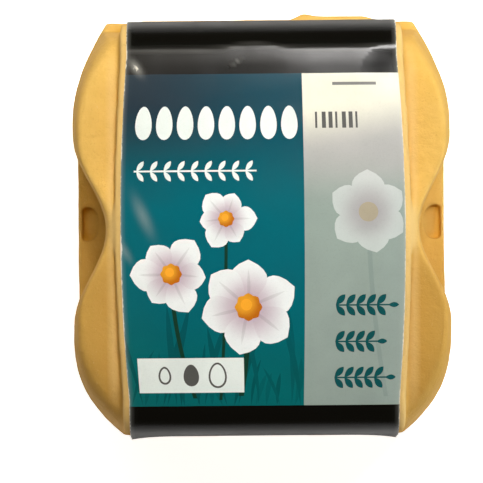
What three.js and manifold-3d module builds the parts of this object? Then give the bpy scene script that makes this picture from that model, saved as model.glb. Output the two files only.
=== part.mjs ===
// A closed egg carton for four eggs: a moulded lid on a moulded tray, and a paper label folded over the lid.
// Millimetres and +Z up. The hinge is at the +Y side and the lock at the -Y side.
// The origin is the middle of the footprint, on the surface that the four cups stand on.

import * as THREE from 'three';
import { mergeVertices } from 'three/addons/utils/BufferGeometryUtils.js';
import Module from 'manifold-3d';

const wasm = await Module();
wasm.setup();

// Driving dimensions
const GAP = 0.3; // air between two pieces that touch
const SEAM_Z = 33; // where the lid's rim meets the tray
const TOP_Z = 67.4; // highest point of the lid
const FRONT_Y = -51.8; // lid's front edge
const BACK_Y = 51.9; // lid's back edge

const LOBE = {
  halfWidth: 47.3, // lid's rim at the widest point of a lobe
  waist: 39.1, // lid's rim at the waist between the lobes
  waistReach: 24, // how far from the middle the waist has swelled out to the lobe
  middle: 27, // where a lobe is widest
  backTurn: { reach: 25, drop: 9, power: 1.85 }, // how the rim turns into a back corner
  frontTurn: { reach: 25.5, drop: 13.8, power: 2.5 }, // and into a front corner
  frontInset: 0.3, // how far the lobes stop short of the band's front
};

// The upper edge of the lobes
const CREST = {
  halfWidth: 42.4,
  waist: 35.7,
  length: 0.81, // its length along Y, as a share of the rim's
  cornerTurn: { drop: 9.3, power: 2.2 },
  z: 65.4,
  cornerFall: 5, // how much lower it is at a corner
};

// The top of the lobes, which slopes down to the band and evens out towards the corners
const LEDGE = { halfWidth: 31, sink: 3.4, bow: 1.3, evenFrom: 31, evenTo: 40, evenShare: 0.75 };

const LIP = { height: 2, sides: 0.6, front: 0.6, back: 2.3 }; // the rim's flange, and how far it stands out

// The lobes' walls: the share of their lean that is straight, and how tightly they turn over at the crest
const WALL = { draft: 0.5, tightness: 7 };

const BAND = {
  halfWidth: 34.9, // raised band under the label, at its middle
  barrel: 0.052, // share of its width that it has lost at the ends of its flat top
  flare: 0.72, // share of that loss that its front and back walls win back on the way down
  wallLean: 2.6, // how far its front and back walls lean in
  shoulderZ: 55, // where the walls turn into the shoulders
  flatHalf: 40.3, // half length of its flat top
  crown: 0.7,
  shoulderBend: 0.62, // how full its shoulders are
  edge: 1.1, // rounding of its side edges
};

const LABEL = { width: 66.5, thickness: 0.3, frontZ: 44.5, backZ: 41 };

// Two tabs at the front, and the air beside them
const LOCK = { x: 17, halfWidth: 6.5, topZ: 42, depth: 1.9, lip: 0.5, nose: 0.4, side: 0.6 };

// The folded strip along the back, which bulges on one side
const HINGE = { halfLength: 30.4, innerY: 51.3, wall: 1.3, topZ: 35.3, round: 0.8, footDepth: 3 };
const BULGE = { from: 7.5, to: 29, rise: 3, depth: 0.82, peak: 0.67, peakX: 11, peakReach: 2.2 };

// The tray
const FLANGE = { halfWidth: 46.2, behindRim: 0.6, thickness: 2.1, frontY: -51.1, backY: 51.1, edge: 0.4 };
const CUP = { x: 23.3, y: 25.4, halfX: 22, halfY: 24.2, foot: 0.55, swell: 0.55, squareness: 2.3 };
const WEB = { halfX: 42, halfY: 45, bottomZ: 20, taper: 8, round: 3, squareness: 5 }; // joins the cups
const POCKET = {
  y: 1.5,
  halfLength: 4.2,
  inner: 40.8,
  outer: 45.1,
  roundShare: 0.6, // how much of its width its round side takes
  shallow: 0.5,
  deep: 3,
  wall: 1,
  floor: 1.2,
};

const PULP = { color: 0xe3b65a, roughness: 0.85, metalness: 0 };
const PAPER = { color: 0x0f6a68, roughness: 0.35, metalness: 0 };

// Shared helpers

// Rises smoothly from 0 to 1 as t goes from 0 to 1.
const ease = (t) => (1 - Math.cos(Math.PI * THREE.MathUtils.clamp(t, 0, 1))) / 2;

const steps = (count) => Array.from({ length: count + 1 }, (_, i) => i / count);

// A closed three.js geometry as a solid that can be joined and cut.
function solid(geometry) {
  const bare = geometry.clone();
  bare.deleteAttribute('normal');
  bare.deleteAttribute('uv');
  const merged = mergeVertices(bare, 1e-4);
  const mesh = new wasm.Mesh({
    numProp: 3,
    vertProperties: merged.attributes.position.array,
    triVerts: new Uint32Array(merged.index.array),
  });
  return new wasm.Manifold(mesh);
}

// The solid as geometry again.
function geometryOf(made) {
  const { vertProperties, triVerts, numProp } = made.getMesh();
  const flat = new THREE.BufferGeometry();
  flat.setAttribute('position', new THREE.BufferAttribute(vertProperties, numProp));
  flat.setIndex(new THREE.BufferAttribute(triVerts, 1));
  const faceted = flat.toNonIndexed();
  faceted.computeVertexNormals();
  return faceted;
}

// A closed skin over rings of equally many points, each anticlockwise as seen from the last ring's side.
function skin(rings) {
  const count = rings[0].length;
  const centre = (ring) => ring.reduce((sum, p) => sum.add(p), new THREE.Vector3()).divideScalar(count);
  const points = [...rings.flat(), centre(rings[0]), centre(rings.at(-1))];
  const faces = [];
  const below = points.length - 2;
  const above = points.length - 1;
  const lastRing = (rings.length - 1) * count;
  for (let i = 0; i < count; i++) {
    const next = (i + 1) % count;
    faces.push(below, next, i, above, lastRing + i, lastRing + next);
    for (let r = 0; r < rings.length - 1; r++) {
      const low = r * count;
      const high = low + count;
      faces.push(low + i, low + next, high + next, low + i, high + next, high + i);
    }
  }
  return new THREE.BufferGeometry().setFromPoints(points).setIndex(faces);
}

// A profile of (y, z) points, extruded along X between two places.
function alongX(profile, fromX, toX) {
  const shape = new THREE.Shape(profile);
  const bar = new THREE.ExtrudeGeometry(shape, { depth: toX - fromX, bevelEnabled: false });
  const turned = new THREE.Matrix4().makeBasis(
    new THREE.Vector3(0, 1, 0), new THREE.Vector3(0, 0, 1), new THREE.Vector3(1, 0, 0));
  return bar.applyMatrix4(turned).translate(fromX, 0, 0);
}

// A plan outline of (x, y) points, extruded up between two heights.
function upright(plan, fromZ, toZ) {
  const shape = new THREE.Shape(plan);
  return new THREE.ExtrudeGeometry(shape, { depth: toZ - fromZ, bevelEnabled: false }).translate(0, 0, fromZ);
}

const flatPoints = (pairs) => pairs.map(([across, up]) => new THREE.Vector2(across, up));

function rectangle(lowX, lowY, highX, highY) {
  return flatPoints([[lowX, lowY], [highX, lowY], [highX, highY], [lowX, highY]]);
}

// Lid

// How far a lobe has drawn in towards a corner, at a distance y from the middle.
function cornerTurn(y, turn) {
  const t = Math.max(0, (Math.abs(y) - LOBE.middle) / turn.reach);
  return turn.drop * t ** turn.power;
}

function rimHalfWidth(y) {
  const swell = (LOBE.halfWidth - LOBE.waist) * ease(Math.abs(y) / LOBE.waistReach);
  return LOBE.waist + swell - cornerTurn(y, y > 0 ? LOBE.backTurn : LOBE.frontTurn);
}

function crestHalfWidth(y) {
  const onRim = Math.abs(y) / CREST.length;
  const swell = (CREST.halfWidth - CREST.waist) * ease(onRim / LOBE.waistReach);
  const t = Math.max(0, (onRim - LOBE.middle) / (BACK_Y - LOBE.middle));
  return CREST.waist + swell - CREST.cornerTurn.drop * t ** CREST.cornerTurn.power;
}

const SIDE_STEPS = 46;
const EDGE_STEPS = 8;

// A closed plan outline, from the front right corner round to the front left one.
function outline(halfWidth, frontY, backY) {
  const side = steps(SIDE_STEPS).map((t) => frontY + (backY - frontY) * t);
  const inner = steps(EDGE_STEPS).slice(1, -1).map((t) => 1 - 2 * t);
  const across = (y, signs) => signs.map((s) => new THREE.Vector2(s * halfWidth(y), y));
  return [
    ...side.map((y) => new THREE.Vector2(halfWidth(y), y)),
    ...across(backY, inner),
    ...side.toReversed().map((y) => new THREE.Vector2(-halfWidth(y), y)),
    ...across(frontY, inner.map((s) => -s)),
  ];
}

// The outline moved inwards by a distance, point by point.
function inset(points, distance) {
  return points.map((p, i) => {
    const before = points.at(i - 1);
    const after = points[(i + 1) % points.length];
    const along = after.clone().sub(before).normalize();
    return new THREE.Vector2(p.x - along.y * distance, p.y + along.x * distance);
  });
}

const level = (points, z) => points.map((p) => new THREE.Vector3(p.x, p.y, z));

const between = (low, high, share) => low.map((p, i) => p.clone().lerp(high[i], share));

function crestZ(y) {
  const t = Math.max(0, Math.abs(y) - LOBE.middle) / (BACK_Y * CREST.length - LOBE.middle);
  return CREST.z - CREST.cornerFall * t ** 2;
}

// How far the ledge sinks from the crest to its inner end.
function ledgeSink(y) {
  const evened = ease((Math.abs(y) - LEDGE.evenFrom) / (LEDGE.evenTo - LEDGE.evenFrom));
  return LEDGE.sink * (1 - LEDGE.evenShare * evened);
}

// The four lobes at the lid's ends, with the waists between them.
function lobes() {
  const frontY = FRONT_Y + LOBE.frontInset;
  const crestFront = FRONT_Y * CREST.length;
  const crestBack = BACK_Y * CREST.length;
  const rim = outline(rimHalfWidth, frontY, BACK_Y);
  const wallFoot = outline((y) => rimHalfWidth(y) - LIP.sides, frontY + LIP.front, BACK_Y - LIP.back);
  const crest = outline(crestHalfWidth, crestFront, crestBack);
  const ledgeEnd = outline(() => LEDGE.halfWidth, crestFront + 1, crestBack - 1);
  const lipZ = SEAM_Z + LIP.height;

  const wallRing = (height) => {
    const lean = (1 - WALL.draft * height) * Math.sqrt(1 - height ** WALL.tightness);
    return between(crest, wallFoot, lean).map((p, i) =>
      new THREE.Vector3(p.x, p.y, lipZ + (crestZ(crest[i].y) - lipZ) * height));
  };
  const ledgeRing = (share) => between(crest, ledgeEnd, share).map((p, i) =>
    new THREE.Vector3(p.x, p.y, crestZ(crest[i].y) - ledgeSink(crest[i].y) * share ** LEDGE.bow));

  return skin([
    level(rim, SEAM_Z),
    level(rim, SEAM_Z + LIP.height * 0.7),
    level(inset(rim, LIP.sides * 0.3), SEAM_Z + LIP.height * 0.95),
    ...[0, 0.2, 0.4, 0.6, 0.75, 0.85, 0.92, 0.965, 0.99, 1].map(wallRing),
    ...[0.2, 0.45, 0.7, 1].map(ledgeRing),
  ]);
}

// The band's section from its front foot over the top to its back foot, pushed out by a distance.
function bandSection(outwards = 0) {
  const frontWall = FRONT_Y + BAND.wallLean;
  const backWall = BACK_Y - BAND.wallLean;
  const flatZ = TOP_Z - BAND.crown;
  const bendZ = THREE.MathUtils.lerp(BAND.shoulderZ, flatZ, BAND.shoulderBend);
  const path = new THREE.Path();
  path.moveTo(FRONT_Y, SEAM_Z);
  path.lineTo(frontWall, BAND.shoulderZ);
  path.bezierCurveTo(
    frontWall, bendZ,
    THREE.MathUtils.lerp(-BAND.flatHalf, frontWall, BAND.shoulderBend), flatZ,
    -BAND.flatHalf, flatZ);
  path.quadraticCurveTo(0, TOP_Z + BAND.crown, BAND.flatHalf, flatZ);
  path.bezierCurveTo(
    THREE.MathUtils.lerp(BAND.flatHalf, backWall, BAND.shoulderBend), flatZ,
    backWall, bendZ,
    backWall, BAND.shoulderZ);
  path.lineTo(BACK_Y, SEAM_Z);
  const points = path.getPoints(12);
  return points.map((p, i) => {
    const before = points[Math.max(i - 1, 0)];
    const after = points[Math.min(i + 1, points.length - 1)];
    const along = after.clone().sub(before).normalize();
    return new THREE.Vector2(p.x - along.y * outwards, Math.max(p.y + along.x * outwards, SEAM_Z));
  });
}

// How wide the band is at a place, as a share of its width at the middle. Its top is barrel-shaped.
function bandShare(y, z) {
  const lost = BAND.barrel * Math.min(1, Math.abs(y) / BAND.flatHalf) ** 2;
  const down = THREE.MathUtils.clamp((TOP_Z - z) / (TOP_Z - SEAM_Z), 0, 1);
  return 1 - lost * (1 - BAND.flare * down);
}

// The raised band, with its side edges rounded.
function band() {
  const edgeRings = steps(4).map((t) => {
    const turn = t * Math.PI / 2;
    const section = bandSection(-BAND.edge * (1 - Math.sin(turn))).reverse();
    const halfWidth = BAND.halfWidth - BAND.edge * (1 - Math.cos(turn));
    return section.map((p) => new THREE.Vector3(halfWidth * bandShare(p.x, p.y), p.x, p.y));
  });
  const mirrored = edgeRings.map((ring) => ring.map((p) => new THREE.Vector3(-p.x, p.y, p.z)));
  return skin([...mirrored, ...edgeRings.toReversed()]);
}

// The front wall's Y at a height on its straight stretch.
function frontWallY(z) {
  return FRONT_Y + BAND.wallLean * (z - SEAM_Z) / (BAND.shoulderZ - SEAM_Z);
}

// The lid, cut away where the tray's tabs and hinge stand.
function lid() {
  const past = 5; // how far a cut runs past the lid
  const notchHalf = LOCK.halfWidth + LOCK.side;
  const notchY = FRONT_Y + LOCK.depth + GAP;
  const notches = [-LOCK.x, LOCK.x].map((x) => upright(
    rectangle(x - notchHalf, FRONT_Y - past, x + notchHalf, notchY), SEAM_Z - past, LOCK.topZ + LOCK.side));
  const roomHalf = HINGE.halfLength + LOCK.side;
  const hingeRoom = upright(
    rectangle(-roomHalf, HINGE.innerY - GAP, roomHalf, BACK_Y + past), SEAM_Z - past, HINGE.topZ + LOCK.side);
  const body = solid(lobes()).add(solid(band()));
  return [...notches, hingeRoom].reduce((rest, cut) => rest.subtract(solid(cut)), body);
}

// Tray

const trayTopZ = SEAM_Z - GAP;
const insideFlangeZ = trayTopZ - FLANGE.thickness / 2;

// The flat edge that the lid sits on, straight along the waists.
function flange() {
  const behindRim = (y) => {
    const turn = y > 0 ? LOBE.backTurn : LOBE.frontTurn;
    return LOBE.halfWidth - cornerTurn(y, turn) - FLANGE.behindRim;
  };
  const plan = outline((y) => Math.min(FLANGE.halfWidth, behindRim(y)), FLANGE.frontY, FLANGE.backY);
  return skin([
    level(inset(plan, FLANGE.edge), trayTopZ - FLANGE.thickness),
    level(plan, trayTopZ - FLANGE.thickness + FLANGE.edge),
    level(plan, trayTopZ - FLANGE.edge),
    level(inset(plan, FLANGE.edge), trayTopZ),
  ]);
}

// An oval with flattened sides, anticlockwise.
function roundedSquare(centreX, centreY, halfX, halfY, squareness, count) {
  return steps(count).slice(0, -1).map((t) => {
    const turn = 2 * Math.PI * t;
    const bow = (value) => Math.sign(value) * Math.abs(value) ** (2 / squareness);
    return new THREE.Vector2(centreX + halfX * bow(Math.cos(turn)), centreY + halfY * bow(Math.sin(turn)));
  });
}

// One cup, egg-shaped from its flat foot up to the flange.
function cup(sideX, sideY) {
  const rings = [0, 0.02, 0.07, 0.15, 0.28, 0.45, 0.7, 1].map((height) => {
    const size = CUP.foot + (1 - CUP.foot) * height ** CUP.swell;
    const plan = roundedSquare(
      sideX * CUP.x, sideY * CUP.y, CUP.halfX * size, CUP.halfY * size, CUP.squareness, 36);
    return level(plan, insideFlangeZ * height);
  });
  return skin(rings);
}

// The block between the cups, under the flange.
function web() {
  const sections = [
    [WEB.taper, WEB.bottomZ],
    [WEB.taper / 3, WEB.bottomZ + WEB.round],
    [0, insideFlangeZ],
  ];
  return skin(sections.map(([draw, z]) =>
    level(roundedSquare(0, 0, WEB.halfX - draw, WEB.halfY - draw, WEB.squareness, 48), z)));
}

// A D-shaped plan outline at one end of the carton, its straight side outwards.
function pocketOutline(side, grow) {
  const outer = POCKET.outer + grow;
  const inner = POCKET.inner - grow;
  const half = POCKET.halfLength + grow;
  const bow = steps(12).map((t) => {
    const turn = Math.PI * (t - 0.5);
    const x = inner + (outer - inner) * POCKET.roundShare * (1 - Math.cos(turn));
    return [side * x, POCKET.y + half * Math.sin(turn)];
  });
  const ring = flatPoints([...bow, [side * outer, POCKET.y + half], [side * outer, POCKET.y - half]]);
  return side > 0 ? ring.reverse() : ring;
}

// The boss that hangs under the flange at one end, and the hole in it, whose floor slopes down outwards.
function pocket(side) {
  const bossZ = trayTopZ - POCKET.deep - POCKET.floor;
  const boss = upright(pocketOutline(side, POCKET.wall), bossZ, insideFlangeZ);
  const hole = upright(pocketOutline(side, 0), 0, SEAM_Z);
  const place = hole.getAttribute('position');
  for (let i = 0; i < place.count; i++) {
    if (place.getZ(i) === 0) {
      const share = (Math.abs(place.getX(i)) - POCKET.inner) / (POCKET.outer - POCKET.inner);
      place.setZ(i, trayTopZ - THREE.MathUtils.lerp(POCKET.shallow, POCKET.deep, share));
    }
  }
  return { boss: solid(boss), hole: solid(hole) };
}

// One tab that stands up from the tray's front edge into the lid's notch.
function lockTab(centreX) {
  const back = FRONT_Y + LOCK.depth;
  const foot = trayTopZ - FLANGE.thickness * 0.8;
  const noseZ = LOCK.topZ - 3;
  const shoulderZ = LOCK.topZ - 1.4;
  const profile = flatPoints([
    [back, foot],
    [back, LOCK.topZ],
    [back - LOCK.lip, LOCK.topZ],
    [frontWallY(shoulderZ), shoulderZ],
    [frontWallY(noseZ) - LOCK.nose, noseZ],
    [frontWallY(SEAM_Z + LIP.height), SEAM_Z + LIP.height],
    [frontWallY(SEAM_Z), foot],
  ]);
  return alongX(profile, centreX - LOCK.halfWidth, centreX + LOCK.halfWidth);
}

// How far the hinge's fold stands out at a place along it.
function bulge(x) {
  const risen = ease((x - BULGE.from) / BULGE.rise) * ease((BULGE.to - x) / BULGE.rise);
  const peak = BULGE.peak * Math.exp(-(((x - BULGE.peakX) / BULGE.peakReach) ** 2));
  return risen * (BULGE.depth + peak);
}

// The folded strip along the back that joins the tray to the lid, and its foot inside the flange.
function hinge() {
  const footZ = trayTopZ - FLANGE.thickness;
  const fold = skin(steps(40).map((t) => {
    const x = HINGE.halfLength * (2 * t - 1);
    const outer = HINGE.innerY + HINGE.wall + bulge(x);
    const section = [
      [HINGE.innerY, footZ],
      [outer - HINGE.round, footZ],
      [outer - HINGE.round / 5, footZ + HINGE.round],
      [outer, (footZ + HINGE.topZ) / 2],
      [outer - HINGE.round / 5, HINGE.topZ - HINGE.round],
      [outer - HINGE.round, HINGE.topZ],
      [HINGE.innerY, HINGE.topZ],
    ];
    return section.map(([y, z]) => new THREE.Vector3(x, y, z));
  }));
  const footFrom = HINGE.innerY - HINGE.footDepth;
  const footTo = HINGE.innerY + HINGE.wall / 2;
  const footSection = rectangle(footFrom, footZ + FLANGE.edge, footTo, trayTopZ - FLANGE.edge);
  const foot = alongX(footSection, 1 - HINGE.halfLength, HINGE.halfLength - 1);
  return solid(fold).add(solid(foot));
}

function tray() {
  const cups = [-1, 1].flatMap((sideX) => [-1, 1].map((sideY) => cup(sideX, sideY)));
  const tabs = [-LOCK.x, LOCK.x].map(lockTab);
  const pockets = [-1, 1].map(pocket);
  const moulded = [flange(), web(), ...cups, ...tabs].map(solid);
  const whole = [...moulded, hinge(), ...pockets.map((p) => p.boss)].reduce((sum, piece) => sum.add(piece));
  return pockets.reduce((rest, p) => rest.subtract(p.hole), whole);
}

// Label

// Where a section first rises above a height, walking from its start.
function cutAbove(section, z) {
  const i = section.findIndex((p) => p.y > z);
  const share = (z - section[i - 1].y) / (section[i].y - section[i - 1].y);
  return [section[i - 1].clone().lerp(section[i], share), ...section.slice(i)];
}

// One sheet that follows the band from its front wall over the top and down its back wall.
function label() {
  const trimmed = (section) => {
    const fromFront = cutAbove(section, LABEL.frontZ);
    return cutAbove(fromFront.toReversed(), LABEL.backZ).toReversed();
  };
  const under = trimmed(bandSection(GAP));
  const over = trimmed(bandSection(GAP + LABEL.thickness));
  const strip = alongX([...under, ...over.toReversed()], -LABEL.width / 2, LABEL.width / 2);
  const place = strip.getAttribute('position');
  for (let i = 0; i < place.count; i++) {
    place.setX(i, place.getX(i) * bandShare(place.getY(i), place.getZ(i)));
  }
  return solid(strip);
}

// The carton

const carton = new THREE.Group();
const foldY = HINGE.innerY + HINGE.wall + bulge(BULGE.peakX);
const middleY = (foldY + FRONT_Y) / 2; // the middle of the footprint, with the hinge's fold

const pieces = [
  ['tray', tray(), PULP],
  ['lid', lid(), PULP],
  ['label', label(), PAPER],
];
for (const [name, made, look] of pieces) {
  const mesh = new THREE.Mesh(geometryOf(made), new THREE.MeshStandardMaterial(look));
  mesh.name = name;
  mesh.position.y = -middleY;
  carton.add(mesh);
}

export default carton;
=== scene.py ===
# A closed egg carton for four eggs: moulded pulp under a printed paper label, in soft light.
# Lengths are named in millimetres and turned into metres where they are used. The lamps' are in metres.
# +Z is up, the hinge is at the +Y side and the lock at the -Y side.

import math
import random

import bmesh
import bpy
import numpy as np
from mathutils import Matrix, Vector, geometry, noise


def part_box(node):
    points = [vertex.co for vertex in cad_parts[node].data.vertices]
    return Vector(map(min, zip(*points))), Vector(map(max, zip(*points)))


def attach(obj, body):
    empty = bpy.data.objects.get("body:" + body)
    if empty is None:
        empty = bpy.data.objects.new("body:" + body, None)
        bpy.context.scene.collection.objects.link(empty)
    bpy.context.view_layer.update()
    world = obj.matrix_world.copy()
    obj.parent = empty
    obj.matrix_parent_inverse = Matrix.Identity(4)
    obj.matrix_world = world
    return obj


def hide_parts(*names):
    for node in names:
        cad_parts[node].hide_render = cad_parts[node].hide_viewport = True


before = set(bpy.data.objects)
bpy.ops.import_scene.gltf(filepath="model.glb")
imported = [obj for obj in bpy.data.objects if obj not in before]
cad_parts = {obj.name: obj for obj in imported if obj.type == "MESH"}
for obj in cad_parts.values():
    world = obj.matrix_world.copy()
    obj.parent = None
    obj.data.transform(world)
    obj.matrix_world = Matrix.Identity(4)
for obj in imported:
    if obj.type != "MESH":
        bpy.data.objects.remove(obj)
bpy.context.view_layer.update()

MM = 0.001

# The moulded skin
VOXEL = 0.5  # spacing of its points
MOST_TRIANGLES = 190_000  # in each of the two moulded pieces
SMOOTHING = 3  # rounds of smoothing, which soften edges and fill creases
GROOVE_SMOOTHING = 14  # more rounds along the groove on either side of the band
GROOVE_MIDDLE = 35.2
GROOVE_REACH = 2.6
CUP_SMOOTHING = 45  # more rounds on the cups
CUP_TOP_Z = 29.5
CUP_FADE = 3
FOOT_Z = 0.05  # how far the feet stand over the floor
# Unevenness of the moulding: how long the swells are, and how deep
SWELLS = [(17.0, 0.22), (4.5, 0.08), (1.5, 0.045)]
LEVEL_HALF = 34  # half width of the band's top, where the label keeps the swells low
LEVEL_FADE = 3
LEVEL_SHARE = 0.8  # how much of their depth the swells lose there
BEND_SMOOTHING = 6  # rounds that spread the measured bend of the skin to its neighbours
BEND_GAIN = 5

# The pulp's colours, with painted shade and a painted highlight among them, and where they change
PULP_LIGHT = (0.77, 0.49, 0.135)
PULP_PLAIN = (0.69, 0.42, 0.093)
# deep tone of the fibre flecks, also used as painted shade on steep faces
PULP_DEEP_FIBRE_AND_SHADE = (0.465, 0.244, 0.037)
# paler tone of wear and flecks, also used as a painted highlight on the band's top
PULP_WORN_AND_HIGHLIGHT = (0.75, 0.53, 0.22)
# painted shade towards the front
PULP_FRONT_SHADE = (0.50, 0.28, 0.055)
# painted shade in grooves
PULP_GROOVE_SHADE = (0.62, 0.33, 0.038)
FRONT_SHADE_Y = (6, -14)  # painted shade: the pulp is painted browner and darker from the first to the second
# The band's top is painted paler, a painted highlight, from the first to the second of each
HIGHLIGHT_HALF_WIDTH = (37, 35.5)
HIGHLIGHT_Z = (60, 64)

# The lid's raised band, which the label is folded over
SEAM_Z = 33.0  # where the lid's rim meets the tray
TOP_Z = 67.4
FRONT_Y = -51.8
BACK_Y = 51.9
WALL_LEAN = 2.6  # how far its front and back walls lean in
SHOULDER_Z = 55.0  # where the walls turn into the shoulders
FLAT_HALF = 40.3  # half length of its flat top
CROWN = 0.7
SHOULDER_BEND = 0.62  # how full its shoulders are
BARREL = 0.052  # share of its width that it has lost at the ends of its flat top
FLARE = 0.72  # share of that loss that its walls win back on the way down

# The label. A place on it is how far across and how far along the sheet it lies from the middle.
LABEL_FRONT_Z = 44.5
LABEL_BACK_Z = 41.0
SHEET_HALF = 33.25  # half width, before the band's barrel shape narrows it
PAPER = 0.22  # thickness
PAPER_LIFT = 0.14  # its underside over the band
SHEET_STEP = 0.8  # spacing of the sheet's own points
FOLD_FROM = 37.6  # how far back the sheet stays flat before it is folded down
FOLD_SPAN = 5.2  # length of the round shoulder that the fold bridges
# The fold isn't straight: it lies further back near the middle, and at the right
FOLD_BOW = {"across": -2, "width": 7, "depth": 2.2}
FOLD_TURN = {"from": 20, "to": 31, "depth": 0.8}
# The curved crease round a hollow at the right of the fold. It fades towards the front.
CREASE = {"across": 32.3, "along": 34.2, "radius": 9.0, "depth": 0.3, "fade": 14, "from": 28, "to": 36}
# Waves of the loose sheet: length, place in the noise, stretch along the sheet and height
WAVES = [(24, 4.2, 1.0, 0.28), (10, 9.1, 1.6, 0.08)]
WAVES_END = (38, 46)  # along the sheet, they die down from the first to the second
WAVES_EDGE = 7  # and over this width at the side edges
CORNER_FROM = -50  # the front corners stand out more and more from here
CORNER_LIFT = 0.75
DULL_Z = 58  # the sheet is duller on its way down to here
GLOSSY_Z = 66
# Whitened places on the print: middle of each, its length and width, heading in degrees and strength
WHITENED_PLACES = [(-30.7, 37.6, 4.0, 1.8, -50, 1.35), (-28.0, 3.0, 8.5, 2.4, -66, 0.75),
        (-32.2, -5.3, 5.0, 1.6, -62, 0.65), (-6.2, 38.8, 3.2, 0.6, 32, 0.4)]
EDGE_WEAR = {"strength": 1.15, "reach": 0.3}
# The fold is worn at a share of the way from its start to a place past it
FOLD_WEAR = {"strength": 0.2, "reach": 0.5, "past": 46, "share": 0.48}

# Camera and light
CAMERA = {"x": -5.05, "y": -4.245, "z": 497.0, "view_degrees": 14.94, "roll_degrees": -0.5}
# Lamps: watts, place, aim, size, colour, spread in degrees, and whether the gloss mirrors them
LAMPS = {
    "window": (0.14, (0.085, 0.19, 0.50), (0.02, 0.04, 0.067), (0.12, 0.16), (1.0, 0.98, 0.97), 45, True),
    "ceiling": (0.088, (-0.03, 0.19, 0.52), (0, 0.04, 0.067), (0.50, 0.16), (1.0, 0.94, 0.84), 60, True),
    "back": (0.20, (-0.06, 0.20, 0.24), (-0.02, 0.03, 0.06), (0.20, 0.08), (1.0, 0.97, 0.75), 180, False),
    "key": (1.03, (0.44, -0.11, 0.118), (0, 0, 0.05), (0.16, 0.14), (0.80, 0.90, 1.0), 180, False),
}
STUDIO_COLOUR = (1.0, 0.82, 0.56)
STUDIO_GLOW = 0.115
FLOOR_GLOW = 0.78

# How far the object is moved along Y from the place that the band's values are given in
SHIFT_Y = BACK_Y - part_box("lid")[1].y / MM


def linear(red, green, blue):
    """A colour from its 0 to 255 screen values, as linear light."""
    def channel(value):
        share = value / 255
        return share / 12.92 if share <= 0.04045 else ((share + 0.055) / 1.055) ** 2.4
    return np.array([channel(red), channel(green), channel(blue)])


def ease(low, high, value):
    """Rises smoothly from 0 at low to 1 at high."""
    share = min(1.0, max(0.0, (value - low) / (high - low)))
    return share * share * (3 - 2 * share)


def mix(one, other, share):
    return one + (other - one) * share


# Node helpers

def blank_material(name):
    material = bpy.data.materials.new(name)
    material.use_nodes = True
    tree = material.node_tree
    return material, tree, tree.nodes["Principled BSDF"]


def node(tree, kind, inputs=None, **settings):
    """Adds a node. An input is a value, or another node's output to link."""
    made = tree.nodes.new(kind)
    for name, value in settings.items():
        setattr(made, name, value)
    for name, value in (inputs or {}).items():
        if isinstance(value, bpy.types.NodeSocket):
            tree.links.new(value, made.inputs[name])
        else:
            made.inputs[name].default_value = value
    return made


def grain(tree, place, size, detail=3.0, distortion=0.0, stretch=(1, 1, 1)):
    """Noise from 0 to 1 whose patches are about size millimetres across."""
    stretched = node(tree, "ShaderNodeMapping", {"Vector": place, "Scale": stretch}).outputs["Vector"]
    return node(tree, "ShaderNodeTexNoise", {
        "Vector": stretched, "Scale": 1 / (size * MM), "Detail": detail, "Distortion": distortion,
    }).outputs["Fac"]


def spread(tree, value, low, high, to_low=0.0, to_high=1.0):
    return node(tree, "ShaderNodeMapRange", {
        "Value": value, "From Min": low, "From Max": high, "To Min": to_low, "To Max": to_high,
    }).outputs["Result"]


def calculate(tree, operation, one, other):
    return node(tree, "ShaderNodeMath", {0: one, 1: other}, operation=operation).outputs[0]


def blend_colours(tree, share, one, other, kind="MIX"):
    """Goes from one colour to the other. The node keeps its colours in its sockets 6 and 7."""
    made = node(tree, "ShaderNodeMix", data_type="RGBA", blend_type=kind)
    for index, value in ((0, share), (6, one), (7, other)):
        if isinstance(value, bpy.types.NodeSocket):
            tree.links.new(value, made.inputs[index])
        else:
            made.inputs[index].default_value = value
    return made.outputs[2]


def rgba(colour):
    return (*[float(c) for c in colour], 1.0)


# Moulded pulp

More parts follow.
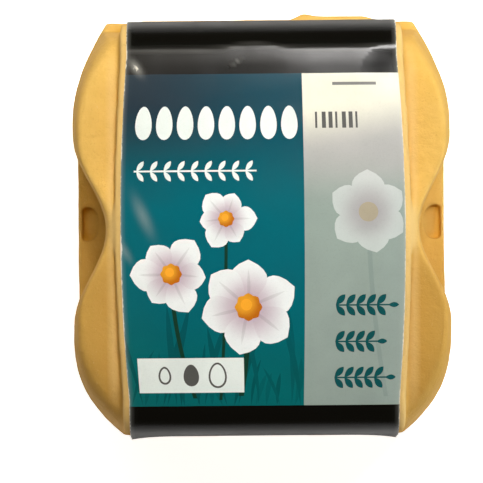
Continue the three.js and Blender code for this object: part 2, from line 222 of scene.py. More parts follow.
def pulp_colour(tree, place, fibre):
    """Mottled and flecked, and paler on worn edges. Painted shade makes it browner and darker towards the
    front, and deeper on steep faces and in grooves; a painted highlight makes the band's top paler.
    """
    blotch = spread(tree, grain(tree, place, 24, 2), 0.3, 0.7, 0, 0.5)
    mottle = spread(tree, grain(tree, place, 3.2, 4), 0.3, 0.7, 0, 0.5)
    fleck = grain(tree, place, 0.55, 3, 3.0, (1, 0.35, 1))
    crease = node(tree, "ShaderNodeAttribute", attribute_name="crease").outputs["Fac"]
    facing = node(tree, "ShaderNodeNewGeometry").outputs["Normal"]
    upward = node(tree, "ShaderNodeSeparateXYZ", {"Vector": facing}).outputs["Z"]
    split = node(tree, "ShaderNodeSeparateXYZ", {"Vector": place}).outputs
    across = calculate(tree, "ABSOLUTE", split["X"], 0)
    inside = spread(tree, across, HIGHLIGHT_HALF_WIDTH[0] * MM, HIGHLIGHT_HALF_WIDTH[1] * MM)
    on_top = spread(tree, split["Z"], HIGHLIGHT_Z[0] * MM, HIGHLIGHT_Z[1] * MM)
    band_top_highlight = calculate(tree, "MULTIPLY", inside, on_top)
    steep_shade = spread(tree, upward, 0.8, 0.3)
    shades = [
        # painted shade: browner and darker towards the front
        (spread(tree, split["Y"], FRONT_SHADE_Y[0] * MM, FRONT_SHADE_Y[1] * MM, 0, 0.75), PULP_FRONT_SHADE),
        # painted shade: steep faces painted deeper
        (calculate(tree, "MULTIPLY", steep_shade, 0.5), PULP_DEEP_FIBRE_AND_SHADE),
        # painted highlight: the band's top painted paler
        (calculate(tree, "MULTIPLY", band_top_highlight, 0.6), PULP_WORN_AND_HIGHLIGHT),
        (spread(tree, fibre, 0.62, 0.75, 0, 0.35), PULP_DEEP_FIBRE_AND_SHADE),
        (spread(tree, fleck, 0.66, 0.74, 0, 0.5), PULP_WORN_AND_HIGHLIGHT),
        (spread(tree, crease, 0.3, 1.0, 0, 0.35), PULP_WORN_AND_HIGHLIGHT),
        # painted shade in grooves and hollows, where the skin bends inwards
        (spread(tree, crease, -0.1, -0.6, 0, 0.75), PULP_GROOVE_SHADE),
    ]
    patches = calculate(tree, "ADD", blotch, mottle)
    colour = blend_colours(tree, patches, rgba(PULP_PLAIN), rgba(PULP_LIGHT))
    for share, shade in shades:
        colour = blend_colours(tree, share, colour, rgba(shade))
    return colour


def pulp_material():
    material, tree, shader = blank_material("moulded_pulp")
    place = node(tree, "ShaderNodeTexCoord").outputs["Object"]
    fibre = grain(tree, place, 0.9, 5, 2.2)
    tree.links.new(pulp_colour(tree, place, fibre), shader.inputs["Base Color"])
    tree.links.new(spread(tree, fibre, 0.3, 0.7, 0.95, 0.78), shader.inputs["Roughness"])
    coarse = node(tree, "ShaderNodeBump", {
        "Strength": 0.8, "Distance": 0.45 * MM, "Height": grain(tree, place, 2.4, 4),
    }).outputs["Normal"]
    fine = node(tree, "ShaderNodeBump", {
        "Strength": 0.7, "Distance": 0.16 * MM, "Height": fibre, "Normal": coarse,
    }).outputs["Normal"]
    tree.links.new(fine, shader.inputs["Normal"])
    shader.inputs["Specular IOR Level"].default_value = 0.15
    return material


def moulded_copy(node_name, name):
    """The CAD solid as one moulded skin: remeshed evenly, and softened at its edges."""
    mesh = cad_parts[node_name].data.copy()
    welded = bmesh.new()
    welded.from_mesh(mesh)
    bmesh.ops.remove_doubles(welded, verts=welded.verts, dist=0.001 * MM)
    welded.to_mesh(mesh)
    welded.free()
    rough = bpy.data.objects.new(name + "_rough", mesh)
    bpy.context.scene.collection.objects.link(rough)
    remesh = rough.modifiers.new("grain", "REMESH")
    remesh.mode = "VOXEL"
    remesh.voxel_size = VOXEL * MM
    smooth = rough.modifiers.new("smooth", "SMOOTH")
    smooth.factor = 0.5
    smooth.iterations = SMOOTHING
    mesh = evaluated(rough)
    rough.modifiers.clear()
    rough.data = mesh
    triangles = 2 * len(mesh.polygons)
    if triangles > MOST_TRIANGLES:
        thin = rough.modifiers.new("thin", "DECIMATE")
        thin.ratio = MOST_TRIANGLES / triangles
        mesh = evaluated(rough)
    bpy.data.objects.remove(rough)
    mesh.name = name
    piece = bpy.data.objects.new(name, mesh)
    bpy.context.scene.collection.objects.link(piece)
    return piece


def evaluated(thing):
    graph = bpy.context.evaluated_depsgraph_get()
    graph.update()
    return bpy.data.meshes.new_from_object(thing.evaluated_get(graph))


def read_points(mesh):
    flat = np.empty(len(mesh.vertices) * 3)
    mesh.vertices.foreach_get("co", flat)
    return flat.reshape(-1, 3)


def read_normals(mesh):
    flat = np.empty(len(mesh.vertices) * 3)
    mesh.vertex_normals.foreach_get("vector", flat)
    return flat.reshape(-1, 3)


def read_edges(mesh):
    ends = np.empty(len(mesh.edges) * 2, np.int64)
    mesh.edges.foreach_get("vertices", ends)
    return ends.reshape(-1, 2).T


def neighbour_mean(values, one, other):
    """The mean of each point's neighbours, along the edges from one to other."""
    ends = np.concatenate([one, other])
    starts = np.concatenate([other, one])
    count = np.maximum(np.bincount(ends, minlength=len(values)), 1)
    columns = values.reshape(len(values), -1).T
    return np.stack([np.bincount(ends, column[starts], len(values)) / count for column in columns], 1)


def groove_share(points):
    """1 in the groove on either side of the band, and 0 away from it."""
    away = np.abs(np.abs(points[:, 0]) / MM - GROOVE_MIDDLE)
    return np.clip(1 - away / GROOVE_REACH, 0, 1) * (points[:, 2] > SHOULDER_Z * MM)


def cup_share(points):
    """1 on the cups, and 0 on the flat edge over them."""
    return np.clip((CUP_TOP_Z - points[:, 2] / MM) / CUP_FADE, 0, 1)


def soften(mesh, share, rounds):
    """Smooths a part of the skin more than the rest, as pulp can't hold a sharp groove there."""
    points = read_points(mesh)
    one, other = read_edges(mesh)
    weight = 0.6 * share(points)[:, None]
    for _ in range(rounds):
        points += weight * (neighbour_mean(points, one, other) - points)
    mesh.vertices.foreach_set("co", points.ravel())
    mesh.update()


def swell(mesh, seed):
    """Moves the skin in and out a little, as moulded pulp dries unevenly."""
    points = read_points(mesh)
    normals = read_normals(mesh)
    shift = Vector((seed * 3.1, seed * 1.7, seed * 2.3))
    heights = np.zeros(len(points))
    for length, depth in SWELLS:
        scaled = points / (length * MM)
        heights += depth * MM * np.array([noise.noise(Vector(p) + shift) for p in scaled])
    past = (np.abs(points[:, 0]) / MM - LEVEL_HALF) / LEVEL_FADE
    under_label = np.clip(1 - past, 0, 1) * (points[:, 2] > SEAM_Z * MM)
    heights *= 1 - LEVEL_SHARE * under_label
    points += normals * heights[:, None]
    points[:, 2] = np.maximum(points[:, 2], FOOT_Z * MM)
    mesh.vertices.foreach_set("co", points.ravel())
    mesh.update()


def mark_creases(mesh):
    """Stores how sharply the skin turns at each point: above 0 on an edge, below 0 in a groove."""
    points = read_points(mesh)
    normals = read_normals(mesh)
    one, other = read_edges(mesh)
    step = points[other] - points[one]
    length = np.linalg.norm(step, axis=1) + 1e-9
    count = np.maximum(np.bincount(np.concatenate([one, other]), minlength=len(points)), 1)
    bend = np.bincount(one, -(step * normals[one]).sum(1) / length, len(points))
    bend += np.bincount(other, (step * normals[other]).sum(1) / length, len(points))
    bend /= count
    for _ in range(BEND_SMOOTHING):
        bend = (bend + count * neighbour_mean(bend, one, other)[:, 0]) / (1 + count)
    attribute = mesh.attributes.new("crease", "FLOAT", "POINT")
    attribute.data.foreach_set("value", np.clip(bend * BEND_GAIN, -1, 1).astype(np.float32))


def pulp_piece(node_name, seed, material):
    piece = moulded_copy(node_name, node_name + "_pulp")
    if node_name == "lid":
        soften(piece.data, groove_share, GROOVE_SMOOTHING)
    else:
        soften(piece.data, cup_share, CUP_SMOOTHING)
    swell(piece.data, seed)
    mark_creases(piece.data)
    piece.data.materials.clear()
    piece.data.materials.append(material)
    piece.data.shade_smooth()
    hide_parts(node_name)
    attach(piece, "root")
    return piece


# The label's sheet

def curve(points, count=40):
    """Points along a Bezier curve of any degree."""
    shares = np.linspace(0, 1, count)[:, None]
    degree = len(points) - 1
    return sum(
        math.comb(degree, i) * shares ** i * (1 - shares) ** (degree - i) * np.array(p, float)
        for i, p in enumerate(points))


def band_section():
    """(y, z) along the band, from its front foot over the top to its back foot."""
    front_wall = FRONT_Y + WALL_LEAN
    back_wall = BACK_Y - WALL_LEAN
    flat_z = TOP_Z - CROWN
    bend_z = mix(SHOULDER_Z, flat_z, SHOULDER_BEND)
    pieces = [
        curve([(FRONT_Y, SEAM_Z), (front_wall, SHOULDER_Z)]),
        curve([(front_wall, SHOULDER_Z), (front_wall, bend_z),
               (mix(-FLAT_HALF, front_wall, SHOULDER_BEND), flat_z), (-FLAT_HALF, flat_z)]),
        curve([(-FLAT_HALF, flat_z), (0, TOP_Z + CROWN), (FLAT_HALF, flat_z)], 120),
        curve([(FLAT_HALF, flat_z), (mix(FLAT_HALF, back_wall, SHOULDER_BEND), flat_z),
               (back_wall, bend_z), (back_wall, SHOULDER_Z)]),
        curve([(back_wall, SHOULDER_Z), (BACK_Y, SEAM_Z)]),
    ]
    return np.vstack([pieces[0]] + [p[1:] for p in pieces[1:]])


section = band_section()
# The length along the band from its middle to each point of the section, and the section's slope there
run = np.concatenate([[0], np.cumsum(np.linalg.norm(np.diff(section, axis=0), axis=1))])
run -= np.interp(0, section[:, 0], run)
slopes = np.gradient(section, run, axis=0)
slopes /= np.linalg.norm(slopes, axis=1)[:, None]


def run_at_height(z, side):
    """How far along the sheet a height is, at the front (side -1) or the back (side 1)."""
    part = run * side > 0
    heights = section[part][:, 1]
    order = np.argsort(heights)
    return np.interp(z, heights[order], run[part][order])


FRONT_EDGE = run_at_height(LABEL_FRONT_Z, -1)
BACK_EDGE = run_at_height(LABEL_BACK_Z, 1)


def band_share(y, z):
    """How wide the band is at a place, as a share of its width at the middle."""
    lost = BARREL * min(1.0, abs(y) / FLAT_HALF) ** 2
    down = min(1.0, max(0.0, (TOP_Z - z) / (TOP_Z - SEAM_Z)))
    return 1 - lost * (1 - FLARE * down)


def on_band(along):
    """The band's (y, z) there, and the direction straight out of it."""
    here = Vector((np.interp(along, run, section[:, 0]), np.interp(along, run, section[:, 1])))
    return here, Vector((-np.interp(along, run, slopes[:, 1]), np.interp(along, run, slopes[:, 0])))


def fold_start(across):
    """How far back the sheet is folded down, at a place across it."""
    bow = FOLD_BOW["depth"] * math.exp(-((across - FOLD_BOW["across"]) / FOLD_BOW["width"]) ** 2)
    return FOLD_FROM + bow + FOLD_TURN["depth"] * ease(FOLD_TURN["from"], FOLD_TURN["to"], across)


def fold_stand_off(across, along):
    """How far the sharply folded sheet stands off the band's round shoulder."""
    start = fold_start(across)
    if not start < along < start + FOLD_SPAN:
        return 0.0
    here, out = on_band(along)
    flats = [on_band(start), on_band(start + FOLD_SPAN)]
    return min((point - here).dot(normal) / out.dot(normal) for point, normal in flats)


def crease_rise(across, along):
    """Loose paper round a shallow hollow, whose curved edge is a sharp crease."""
    out = math.hypot(across - CREASE["across"], along - CREASE["along"]) / CREASE["radius"]
    rim = out ** 2 if out < 1 else math.exp((1 - out) * CREASE["radius"] / CREASE["fade"])
    return CREASE["depth"] * rim * ease(CREASE["from"], CREASE["to"], along)


def paper_wave(across, along):
    """How far the sheet stands off the band, beyond lying on it."""
    def swells(length, seed, stretch):
        return 0.5 + 0.5 * noise.noise(Vector((across / length, along / (length * stretch), seed)))
    inside = ease(0, WAVES_EDGE, SHEET_HALF - abs(across))
    on_top = 1 - ease(*WAVES_END, abs(along))
    waves = sum(height * swells(length, seed, stretch) for length, seed, stretch, height in WAVES)
    lift = inside * (0.1 + 0.9 * on_top) * waves
    lift += fold_stand_off(across, along)
    lift += crease_rise(across, along)
    corner = (abs(across) / SHEET_HALF) ** 8 * ease(CORNER_FROM, FRONT_EDGE, along)
    return lift + CORNER_LIFT * corner


def sheet_point(across, along, over=0.0):
    """A point of the sheet's underside, or of a face that lies over it."""
    here, out = on_band(along)
    place = here + out * (PAPER_LIFT + paper_wave(across, along) + over)
    return Vector((across * band_share(here.x, here.y), place.x - SHIFT_Y, place.y)) * MM


def sheet_normal(across, along, step=0.2):
    one = sheet_point(across + step, along) - sheet_point(across - step, along)
    other = sheet_point(across, along + step) - sheet_point(across, along - step)
    return one.cross(other).normalized()


def worn_and_whitened(across, along):
    """How worn and whitened the print is, bare above 1: worn most at its cut edges and its fold, and
    whitened at a few listed places.
    """
    worn = EDGE_WEAR["strength"] * math.exp(-(SHEET_HALF - abs(across)) / EDGE_WEAR["reach"])
    crest = mix(fold_start(across), FOLD_WEAR["past"], FOLD_WEAR["share"])
    worn += FOLD_WEAR["strength"] * math.exp(-((along - crest) / FOLD_WEAR["reach"]) ** 2)
    for x, y, length, width, heading, strength in WHITENED_PLACES:
        away = Vector((across - x, along - y))
        away.rotate(Matrix.Rotation(-math.radians(heading), 2))
        worn += strength * math.exp(-(2 * away.x / length) ** 2 - (2 * away.y / width) ** 2)
    return worn


# The print: outlines of (across, along) points in millimetres, each filled with one ink

def anticlockwise(points):
    turned = sum(a[0] * b[1] - b[0] * a[1] for a, b in zip(points, points[1:] + points[:1]))
    return points if turned > 0 else points[::-1]


def closely(points):
    """The same outline, with points as close as the sheet's own."""
    close = []
    for a, b in zip(points, points[1:] + points[:1]):
        count = max(1, math.ceil(math.dist(a, b) / SHEET_STEP))
        close += [(mix(a[0], b[0], i / count), mix(a[1], b[1], i / count)) for i in range(count)]
    return close


def rectangle(left, near, right, far):
    return [(left, near), (right, near), (right, far), (left, far)]


def egg(x, y, half_width, half_height, count=28):
    """An egg standing on its blunt end."""
    turns = [2 * math.pi * i / count for i in range(count)]
    return [(x + half_width * math.cos(t) * (1 - 0.14 * math.sin(t)), y + half_height * math.sin(t))
            for t in turns]


def disc(x, y, radius, count=24, scallop=0.0):
    turns = [2 * math.pi * i / count for i in range(count)]
    return [(x + radius * (1 + scallop * math.cos(8 * t)) * math.cos(t),
             y + radius * (1 + scallop * math.cos(8 * t)) * math.sin(t)) for t in turns]


def leaf(x, y, heading, length, width, bend=0.0, count=9, widest=0.55):
    """A pointed leaf or petal from its foot at (x, y), bending sideways by a share of its length."""
    ahead = Vector((math.cos(heading), math.sin(heading)))
    side = Vector((-ahead.y, ahead.x))
    foot = Vector((x, y))
    power = math.log(0.5) / math.log(widest)

    def at(share, sign):
        half = width / 2 * math.sin(math.pi * share ** power) ** 0.8 if 0 < share < 1 else 0
        middle = foot + ahead * length * share + side * length * bend * share ** 2
        return tuple(middle + side * half * sign)
    shares = [i / count for i in range(count + 1)]
    return [at(s, 1) for s in shares] + [at(s, -1) for s in reversed(shares[1:-1])]


def stem(x, y, heading, length, width, bend, count=10):
    """A stroke of even width that bends sideways."""
    ahead = Vector((math.cos(heading), math.sin(heading)))
    side = Vector((-ahead.y, ahead.x))
    foot = Vector((x, y))
    middles = [foot + ahead * length * i / count + side * length * bend * (i / count) ** 2
               for i in range(count + 1)]
    return [tuple(m + side * width / 2) for m in middles] + [tuple(m - side * width / 2)
                                                             for m in reversed(middles)]


# The teal and pale panels, which meet at the split, and the white box
PANEL = {"left": -40.0, "split": 9.7, "right": 40.0, "front": -41.4, "back": 36.0}
PATCH = {"left": -30.5, "right": -4.9, "front": -38.3, "back": -30.2}
# Blossoms: place of the middle, radius, heading of the first petal and the stem's lean
BLOSSOMS = [
    (-3.6, -18.4, 11.4, 0.35, -0.10),
    (-21.6, -10.6, 8.9, 1.0, 0.16),
    (-8.6, 2.2, 6.8, 0.1, -0.05),
]
FAINT_BLOSSOM = (24.6, 3.6, 9.6, 0.6, 0.12)
PETALS = 6
BLADES = 26  # of grass, along the teal panel's front edge
# Rows of plain marks: the first one's place, their spacing and number
EGG_ROW = {"x": -28.2, "y": 24.6, "step": 4.95, "count": 8}
LEAF_ROW = {"x": -29.6, "y": 13.4, "step": 3.2, "count": 9}
BAR_ROW = {"x": 12.6, "y": 23.2, "step": 1.6, "count": 7, "height": 3.8}
# Leafy twigs: where they start, their leaves' spacing, and each one's y and number of leaf pairs
TWIGS = {"x": 17.0, "step": 2.4, "rows": [(-18.1, 5), (-26.6, 4), (-35.0, 5)]}

BLACK = linear(9, 9, 7)
WHITE = linear(232, 240, 238)
SLATE = linear(26, 46, 60)
DEEP_TEAL = linear(2, 72, 90)
TEAL = linear(1, 99, 113)
GREEN_TEAL = linear(3, 100, 103)
# painted reflection along the teal panel's left edge
TEAL_EDGE_SHEEN = linear(40, 120, 110)
# cream print, partly a painted pool of light at the back
CREAM_AND_PAINTED_LIGHT = linear(236, 234, 218)
LILAC_GREY = linear(178, 178, 177)
SAGE = linear(148, 163, 157)
PETAL_TIP = linear(240, 244, 246)
PETAL_FOOT = linear(196, 176, 190)
CUP = linear(233, 160, 44)
CUP_DEEP = linear(190, 104, 22)
STEM = linear(20, 58, 44)
LEAF_TEAL = linear(16, 78, 82)
MARK_GREY = linear(88, 88, 86)
PAPER_WHITE = linear(224, 220, 208)
MOTTLE = (0.80, 0.82, 0.82)  # darkens the ink in patches
HAZE = (0.62, 0.62, 0.58)  # greys the ink where the print is worn, and at the whitened places


def teal_ink(across, along):
    """Teal that turns to slate at the back and greener at the front, with a painted reflection lightening
    it at its left edge.
    """
    top = mix(SLATE, DEEP_TEAL, ease(-30, 6, across) * 0.75)
    body = mix(TEAL, GREEN_TEAL, ease(-8, -40, along))
    # painted reflection: lighter along the left edge
    side = ease(-20, -36, across) * 0.12 * ease(10, -10, along)
    return mix(mix(body, top, ease(4, 30, along)), TEAL_EDGE_SHEEN, side)


def pale_ink(across, along):
    """Pale grey-green print that turns to cream at the back, its brightening towards the back partly a
    painted pool of light.
    """
    lower = mix(SAGE, LILAC_GREY, ease(4, 20, along))
    # print, brightened towards the back partly as a painted pool of light
    upper = mix(LILAC_GREY, CREAM_AND_PAINTED_LIGHT, ease(18, 31, along + 0.18 * (22 - across)))
    return mix(lower, upper, ease(8, 26, along))


def flat_ink(colour):
    return lambda across, along: colour


def petal_ink(x, y, radius, strength=1.0, under=None):
    def ink(across, along):
        out = math.hypot(across - x, along - y) / radius
        colour = mix(PETAL_FOOT, PETAL_TIP, ease(0.2, 0.85, out))
        return colour if under is None else mix(under(across, along), colour, strength)
    return ink


def cup_ink(x, y, radius):
    def ink(across, along):
        out = math.hypot(across - x + radius * 0.3, along - y - radius * 0.3) / radius
        return mix(CUP, CUP_DEEP, ease(0.4, 1.3, out))
    return ink


def stalk(x, y, radius, lean, ink):
    """A stem that runs down to the panel's front edge."""
    return stem(x, y, -math.pi / 2, y - radius * 0.2 - PANEL["front"], radius * 0.11, lean), ink


def blossom(x, y, radius, first):
    """Six wide petals round a cup."""
    shapes = []
    for i in range(PETALS):
        outline, vein = petal(x, y, radius, first, i)
        ink = petal_ink(x, y, radius * (0.94 + 0.12 * (i % 2)))
        shapes.append((outline, ink))
        shapes.append((vein, lambda across, along, p=ink: p(across, along) * 0.86))
    shapes.append((disc(x, y, radius * 0.27, 32, 0.07), cup_ink(x, y, radius * 0.27)))
    shapes.append((disc(x - radius * 0.04, y + radius * 0.05, radius * 0.12, 16), flat_ink(CUP * 1.15)))
    return shapes


def faint_blossom(x, y, radius, first, lean):
    """The same blossom as a faint print on the pale panel."""
    shapes = [stalk(x, y, radius, lean, lambda a, b: mix(pale_ink(a, b), LEAF_TEAL, 0.13))]
    for i in range(PETALS):
        outline, _ = petal(x, y, radius, first, i)
        shapes.append((outline, petal_ink(x, y, radius, 0.42, pale_ink)))
    shapes.append((disc(x, y, radius * 0.24), lambda a, b: mix(pale_ink(a, b), CUP, 0.22)))
    return shapes


def petal(x, y, radius, first, i):
    """The outline of a blossom's petal, and of the vein on it."""
    heading = first + 2 * math.pi * i / PETALS + 0.12 * math.sin(5 * i + x)
    size = radius * (1 + 0.09 * math.sin(3 * i + y))
    bend = 0.05 * math.sin(2 * i)
    outline = leaf(x, y, heading, size, size * 0.78, bend, 10, 0.62)
    return outline, leaf(x, y, heading, size * 0.8, size * 0.07, bend, 6)


def grass():
    """Thin blades in darker teal, cut off where the pale panel starts."""
    shapes = []
    draw = random.Random(4)
    for i in range(BLADES):
        x = -33 + 43 * (i + draw.random()) / BLADES
        blade = leaf(x, PANEL["front"], math.pi / 2 + draw.uniform(-0.35, 0.35), draw.uniform(7, 26),
                     draw.uniform(0.8, 1.7), draw.uniform(-0.2, 0.2))
        shade = draw.uniform(0.62, 0.85)
        kept = [(min(a, PANEL["split"]), b) for a, b in blade]
        shapes.append((kept, lambda a, b, s=shade: teal_ink(a, b) * s))
    return shapes


def size_patch():
    """The white box, with three egg outlines of growing size and the middle one filled."""
    shapes = [(rectangle(PATCH["left"], PATCH["front"], PATCH["right"], PATCH["back"]), flat_ink(WHITE))]
    y = (PATCH["front"] + PATCH["back"]) / 2
    line = 0.45
    for i, size in enumerate((0.7, 0.85, 1.0)):
        x = mix(PATCH["left"], PATCH["right"], 0.25 + 0.25 * i)
        half_width, half_height = 2.2 * size, 3.0 * size
        shapes.append((egg(x, y, half_width, half_height), flat_ink(MARK_GREY)))
        if i != 1:
            shapes.append((egg(x, y, half_width - line, half_height - line), flat_ink(WHITE)))
    return shapes


def leaf_pair(x, y, heading, length, width, ink):
    return [(leaf(x, y, side * heading, length, width), ink) for side in (-1, 1)]


def teal_panel_marks():
    """A row of egg shapes, and under it a row of paired leaves on a line."""
    ink = flat_ink(WHITE)
    shapes = []
    for i in range(EGG_ROW["count"]):
        shapes.append((egg(EGG_ROW["x"] + EGG_ROW["step"] * i, EGG_ROW["y"], 1.95, 3.9), ink))
    for i in range(LEAF_ROW["count"]):
        shapes += leaf_pair(LEAF_ROW["x"] + LEAF_ROW["step"] * i, LEAF_ROW["y"], 0.95, 2.9, 1.15, ink)
    shapes.append((rectangle(-30.2, 13.2, -1.4, 13.6), ink))
    return shapes


def pale_panel_marks():
    """A short line, a row of bars and three leafy twigs."""
    shapes = [(rectangle(17, 33.2, 27.6, 33.9), flat_ink(MARK_GREY * 2.2))]
    for i in range(BAR_ROW["count"]):
        left = BAR_ROW["x"] + BAR_ROW["step"] * i
        width = 0.95 if i % 3 else 0.5
        bar = rectangle(left, BAR_ROW["y"], left + width, BAR_ROW["y"] + BAR_ROW["height"])
        shapes.append((bar, flat_ink(MARK_GREY)))
    x = TWIGS["x"]
    ink = flat_ink(LEAF_TEAL)
    for y, leaves in TWIGS["rows"]:
        length = 2.5 * leaves
        shapes.append((stem(x, y, 0, length, 0.35, 0), ink))
        for i in range(leaves):
            shapes += leaf_pair(x + TWIGS["step"] * i, y, 0.85, 3.3, 1.5, ink)
        shapes.append((leaf(x + length - 0.2, y, 0, 2.6, 1.2), ink))
    return shapes


def print_shapes():
    """Every printed shape, from the one at the bottom to the one on top."""
    edge = SHEET_HALF + 3
    shapes = [
        (rectangle(-edge, FRONT_EDGE - 3, edge, BACK_EDGE + 3), flat_ink(BLACK)),
        (rectangle(PANEL["left"], PANEL["front"], PANEL["split"], PANEL["back"]), teal_ink),
        (rectangle(PANEL["split"], PANEL["front"], PANEL["right"], PANEL["back"]), pale_ink),
    ]
    shapes += grass()
    shapes += faint_blossom(*FAINT_BLOSSOM)
    shapes += [stalk(x, y, radius, lean, flat_ink(STEM)) for x, y, radius, _, lean in BLOSSOMS]
    for x, y, radius, first, _ in BLOSSOMS:
        shapes += blossom(x, y, radius, first)
    return shapes + size_patch() + teal_panel_marks() + pale_panel_marks()


def sheet_outline():
    """The sheet's outline, whose cut edges wander a little."""
    def line(start, end, wander):
        count = max(2, round((end - start).length / SHEET_STEP))
        return [start.lerp(end, i / count) + wander * noise.noise(Vector((i / 9, start.x, end.y)))
                for i in range(count)]
    corners = [Vector(c) for c in rectangle(-SHEET_HALF, FRONT_EDGE, SHEET_HALF, BACK_EDGE)]
    wanders = [Vector((0, 0.35)), Vector((0.08, 0)), Vector((0, 0.2)), Vector((0.08, 0))]
    points = []
    for i, corner in enumerate(corners):
        points += line(corner, corners[(i + 1) % 4], wanders[i])
    return points


def label_mesh():
    """The sheet as a closed mesh, its upper face divided along the outlines of the print."""
    shapes = print_shapes()
    outline = sheet_outline()
    points = [Vector(p) for p in outline]
    faces = [list(range(len(outline)))]
    rows = int((BACK_EDGE - FRONT_EDGE) / SHEET_STEP)
    columns = int(2 * SHEET_HALF / SHEET_STEP)
    inside = 1 - 0.6 * SHEET_STEP / SHEET_HALF  # keeps the rows' ends clear of the outline
    for row in range(1, rows):
        for column in range(columns + 1):
            across = mix(-SHEET_HALF, SHEET_HALF, column / columns) * inside
            points.append(Vector((across, mix(FRONT_EDGE, BACK_EDGE, row / rows))))
    for shape, _ in shapes:
        shape = anticlockwise(closely(shape))
        faces.append(list(range(len(points), len(points) + len(shape))))
        points += [Vector(p) for p in shape]
    flat, _, cells, _, _, covers = geometry.delaunay_2d_cdt(points, [], faces, 1, 1e-5)
    kept = [(cell, max(cover) - 1) for cell, cover in zip(cells, covers) if 0 in cover]

    used = sorted({i for cell, _ in kept for i in cell})
    index = {old: new for new, old in enumerate(used)}
    count = len(used)
    places = [flat[old] for old in used]
    upper = [sheet_point(*place, PAPER) for place in places]
    under = [sheet_point(*place) for place in places]
    cells_up = [[index[i] for i in cell] for cell, _ in kept]
    cells_down = [[index[i] + count for i in reversed(cell)] for cell, _ in kept]
    edges = dict.fromkeys((a, b) for cell in cells_up for a, b in zip(cell, cell[1:] + cell[:1]))
    rim = [[b, a, a + count, b + count] for a, b in edges if (b, a) not in edges]

    mesh = bpy.data.meshes.new("label_print")
    mesh.from_pydata(upper + under, [], cells_up + cells_down + rim)
    ink = mesh.attributes.new("ink", "FLOAT_COLOR", "CORNER")
    colours = []
    for cell, cover in kept:
        paint = shapes[cover][1]
        colours += [paint(*flat[i]) for i in cell]
    plain_corners = sum(len(face) for face in cells_down + rim)
    colours += [PAPER_WHITE] * plain_corners
    ink.data.foreach_set("color", np.array([[*c, 1.0] for c in colours], np.float32).ravel())
    rub = mesh.attributes.new("rub", "FLOAT", "POINT")
    rub.data.foreach_set("value", [worn_and_whitened(*place) for place in places] * 2)
    normals = [sheet_normal(*place) for place in places]
    straight = [normals[i] for cell in cells_up for i in cell]
    straight += [-normals[i - count] for cell in cells_down for i in cell]
    straight += [(0, 0, 0)] * (4 * len(rim))
    smooth = [True] * (2 * len(cells_up)) + [False] * len(rim)
    mesh.polygons.foreach_set("use_smooth", smooth)
    mesh.normals_split_custom_set(straight)
    mesh.update()
    return mesh


def label_material():
    material, tree, shader = blank_material("printed_paper")
    place = node(tree, "ShaderNodeTexCoord").outputs["Object"]
    ink = node(tree, "ShaderNodeAttribute", attribute_name="ink").outputs["Color"]
    rub = node(tree, "ShaderNodeAttribute", attribute_name="rub").outputs["Fac"]
    tone = grain(tree, place, 9, 3)
    fibre = grain(tree, place, 0.35, 4, 1.5)
    scratch = grain(tree, place, 0.9, 5, 1.2, (1, 0.4, 1))
    dark = rgba(MOTTLE)
    mottled = blend_colours(tree, spread(tree, tone, 0.35, 0.7, 0, 0.4), ink, dark, "MULTIPLY")
    mottled = blend_colours(tree, spread(tree, fibre, 0.5, 0.7, 0, 0.35), mottled, dark, "MULTIPLY")
    haze = spread(tree, rub, 0, 1, 0, 0.28)
    mottled = blend_colours(tree, haze, mottled, rgba(HAZE))
    bare = calculate(tree, "ADD", rub, spread(tree, scratch, 0.3, 0.7, -0.25, 0.25))
    bare = spread(tree, bare, 0.9, 1.15)
    mottled = blend_colours(tree, bare, mottled, rgba(PAPER_WHITE))
    tree.links.new(mottled, shader.inputs["Base Color"])
    height = node(tree, "ShaderNodeSeparateXYZ", {"Vector": place}).outputs["Z"]
    duller = spread(tree, height, DULL_Z * MM, GLOSSY_Z * MM, 0.5, 0)
    rough = calculate(tree, "ADD", duller, spread(tree, tone, 0.3, 0.7, 0.14, 0.21))
    rough = calculate(tree, "ADD", rough, calculate(tree, "MULTIPLY", bare, 0.5))
    tree.links.new(rough, shader.inputs["Roughness"])
    bump = node(tree, "ShaderNodeBump", {
        "Strength": 0.12, "Distance": 0.02 * MM, "Height": fibre,
    }).outputs["Normal"]
    tree.links.new(bump, shader.inputs["Normal"])
    shader.inputs["Specular IOR Level"].default_value = 0.2
    return material


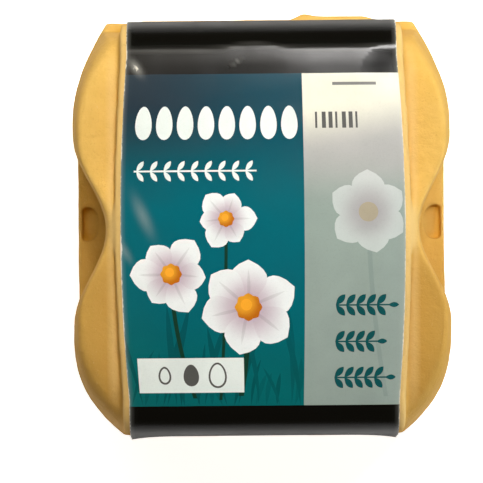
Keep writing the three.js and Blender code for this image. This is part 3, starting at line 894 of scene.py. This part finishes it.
def label_piece():
    piece = bpy.data.objects.new("label_print", label_mesh())
    bpy.context.scene.collection.objects.link(piece)
    piece.data.materials.append(label_material())
    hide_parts("label")
    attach(piece, "root")
    return piece


# Floor, light and camera

def floor():
    bpy.ops.mesh.primitive_plane_add(size=6)
    ground = bpy.context.object
    ground.name = "floor"
    material, tree, shader = blank_material("pale_floor")
    shader.inputs["Base Color"].default_value = rgba((0.93, 0.93, 0.925))
    shader.inputs["Emission Color"].default_value = rgba((1, 1, 1))
    shader.inputs["Emission Strength"].default_value = FLOOR_GLOW
    shader.inputs["Roughness"].default_value = 0.9
    shader.inputs["Specular IOR Level"].default_value = 0.1
    ground.data.materials.append(material)


def area_light(name, watts, place, aim, size, colour, spread_degrees, mirrored):
    """A soft lamp that isn't seen itself."""
    data = bpy.data.lights.new(name, "AREA")
    data.shape = "RECTANGLE"
    data.size, data.size_y = size
    data.energy = watts
    data.color = colour
    data.spread = math.radians(spread_degrees)
    lamp = bpy.data.objects.new(name, data)
    lamp.location = place
    lamp.rotation_euler = (Vector(aim) - lamp.location).to_track_quat("-Z", "Y").to_euler()
    lamp.visible_camera = False
    lamp.visible_glossy = mirrored
    bpy.context.scene.collection.objects.link(lamp)


def lights():
    for name, values in LAMPS.items():
        area_light(name, *values)
    world = bpy.data.worlds.new("studio")
    world.use_nodes = True
    background = world.node_tree.nodes["Background"]
    background.inputs["Color"].default_value = rgba(STUDIO_COLOUR)
    background.inputs["Strength"].default_value = STUDIO_GLOW
    bpy.context.scene.world = world


def camera():
    data = bpy.data.cameras.new("camera")
    data.sensor_fit = "HORIZONTAL"
    data.angle = math.radians(CAMERA["view_degrees"])
    eye = bpy.data.objects.new("camera", data)
    eye.location = Vector((CAMERA["x"], CAMERA["y"], CAMERA["z"])) * MM
    eye.rotation_euler = (0, 0, math.radians(CAMERA["roll_degrees"]))
    bpy.context.scene.collection.objects.link(eye)
    bpy.context.scene.camera = eye


pulp = pulp_material()
pulp_piece("lid", 1, pulp)
pulp_piece("tray", 2, pulp)
label_piece()
floor()
lights()
camera()
bpy.context.scene.view_settings.view_transform = "Standard"
